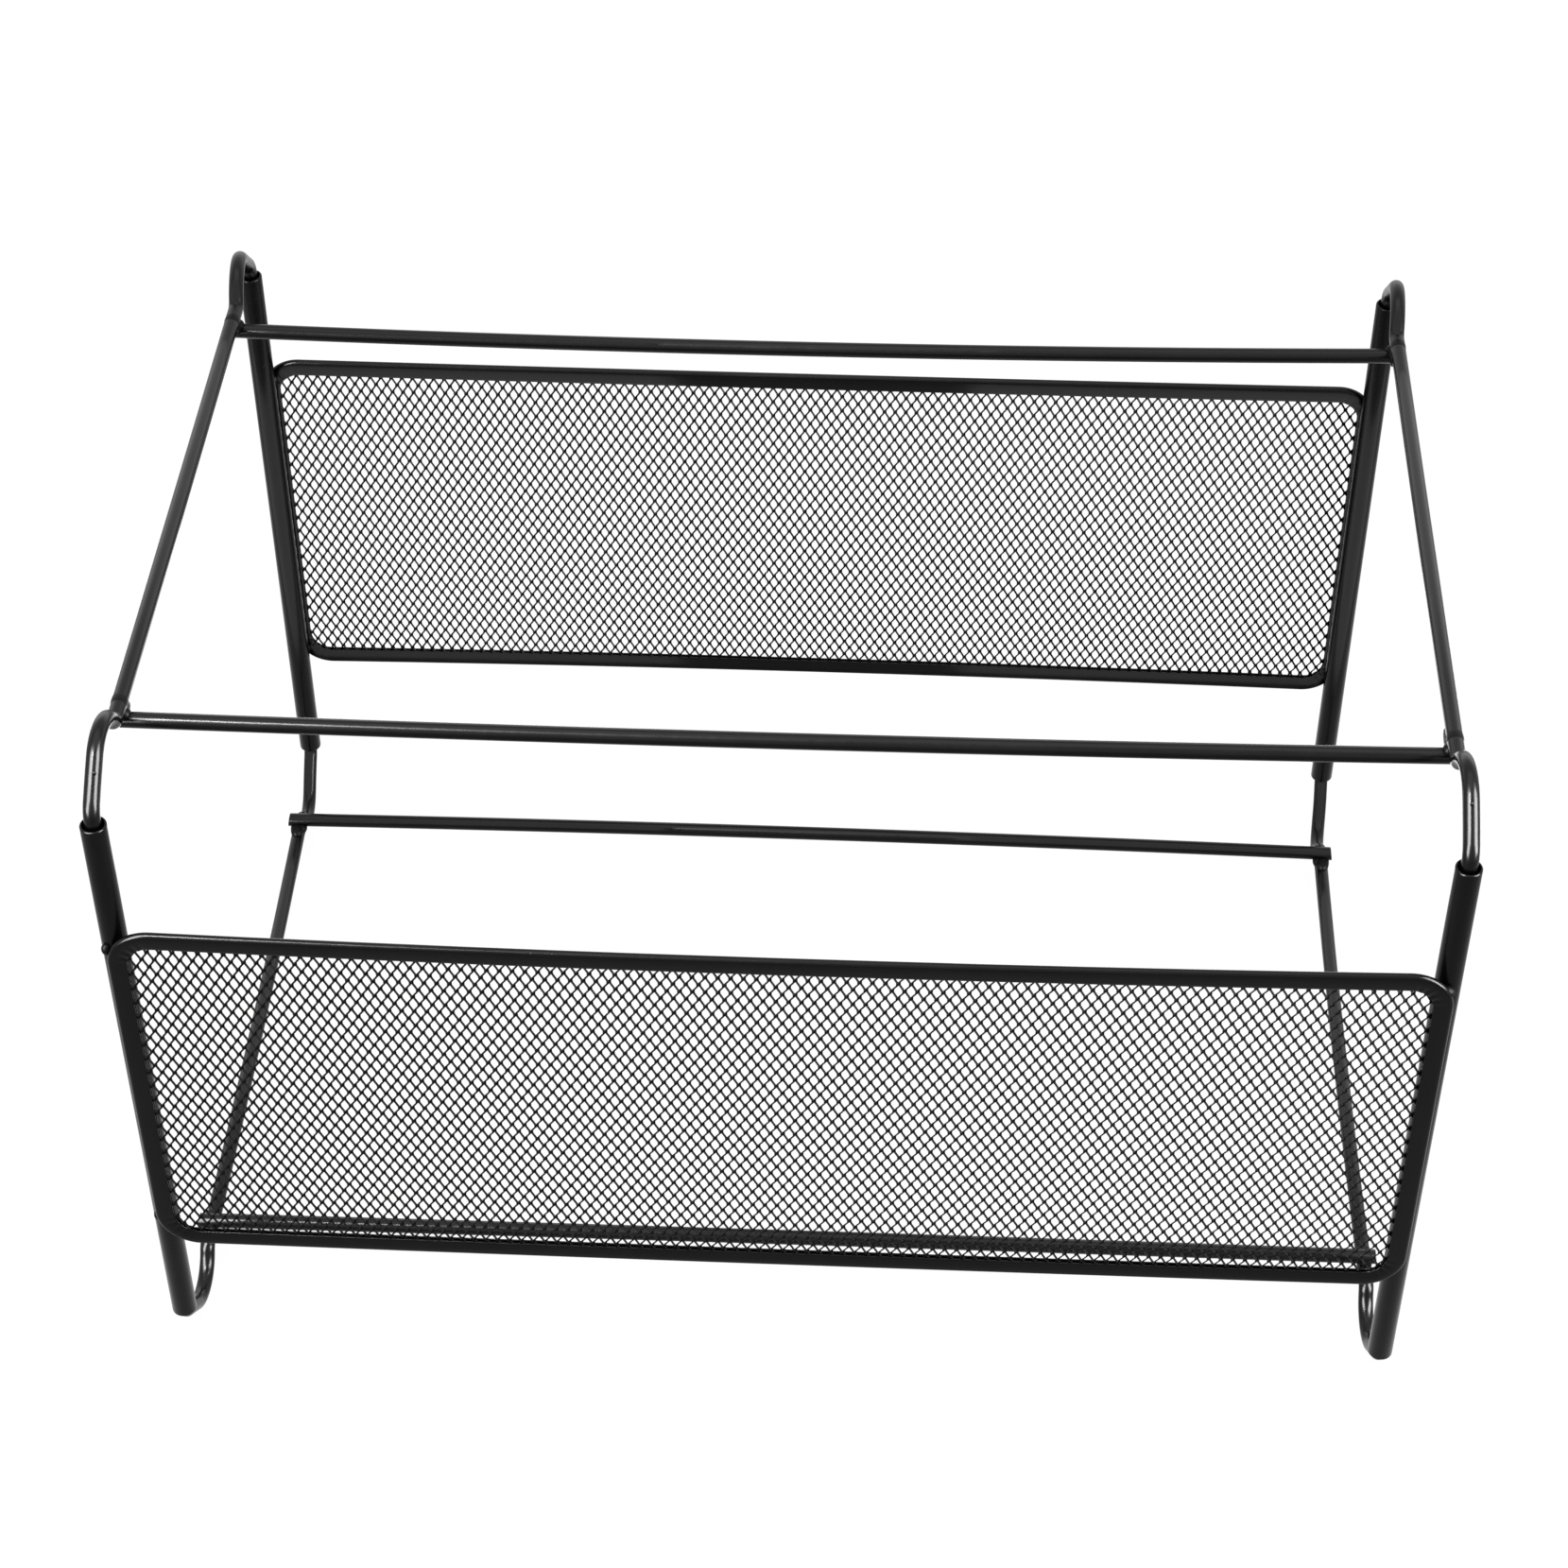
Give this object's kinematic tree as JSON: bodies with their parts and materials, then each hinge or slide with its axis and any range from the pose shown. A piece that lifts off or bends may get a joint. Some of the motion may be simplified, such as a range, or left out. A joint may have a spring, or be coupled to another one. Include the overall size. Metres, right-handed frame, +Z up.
{
  "type": "desk file basket",
  "caption": "Open knock-down desk file basket: bent-wire top and bottom frames plug into the tubes of a front and a rear expanded-metal panel.",
  "frame": {"origin": "on the desk surface under the middle of the basket", "axes": "+Z up, +X to the right along the panels seen from the front, +Y from the front panel to the rear panel"},
  "size_m": [0.3224, 0.235, 0.2077],
  "materials": {
    "wire": "satin-gloss black enamel on drawn steel wire",
    "weld": "black enamel over a small weld bead",
    "tube": "satin-gloss black enamel on thin steel tube",
    "rim": "satin-gloss black enamel on folded steel sheet",
    "mesh": "satin black enamel on expanded steel mesh"
  },
  "bodies": {
    "bottom_frame": {"bottom_left_wire": "wire", "bottom_right_wire": "wire", "bottom_front_bar": "wire", "bottom_rear_bar": "wire", "bottom_front_left_weld": "weld", "bottom_front_right_weld": "weld", "bottom_rear_left_weld": "weld", "bottom_rear_right_weld": "weld"},
    "front_panel": {"front_left_tube": "tube", "front_right_tube": "tube", "front_rim": "rim", "front_mesh": "mesh"},
    "rear_panel": {"rear_left_tube": "tube", "rear_right_tube": "tube", "rear_rim": "rim", "rear_mesh": "mesh"},
    "top_frame": {"top_left_wire": "wire", "top_right_wire": "wire", "top_front_bar": "wire", "top_rear_bar": "wire", "top_front_left_weld": "weld", "top_front_right_weld": "weld", "top_rear_left_weld": "weld", "top_rear_right_weld": "weld"}
  },
  "joints": [
    {"name": "front_panel_lift", "type": "slide", "parent": "bottom_frame", "child": "front_panel", "axis": [0, 0, 1], "range_m": [0, 0.025]},
    {"name": "rear_panel_lift", "type": "slide", "parent": "bottom_frame", "child": "rear_panel", "axis": [0, 0, 1], "range_m": [0, 0.025]},
    {"name": "top_frame_lift", "type": "slide", "parent": "front_panel", "child": "top_frame", "axis": [0, 0, 1], "range_m": [0, 0.025]}
  ],
  "couplings": [
    {"joint": "rear_panel_lift", "follows": "front_panel_lift", "ratio": 1}
  ]
}
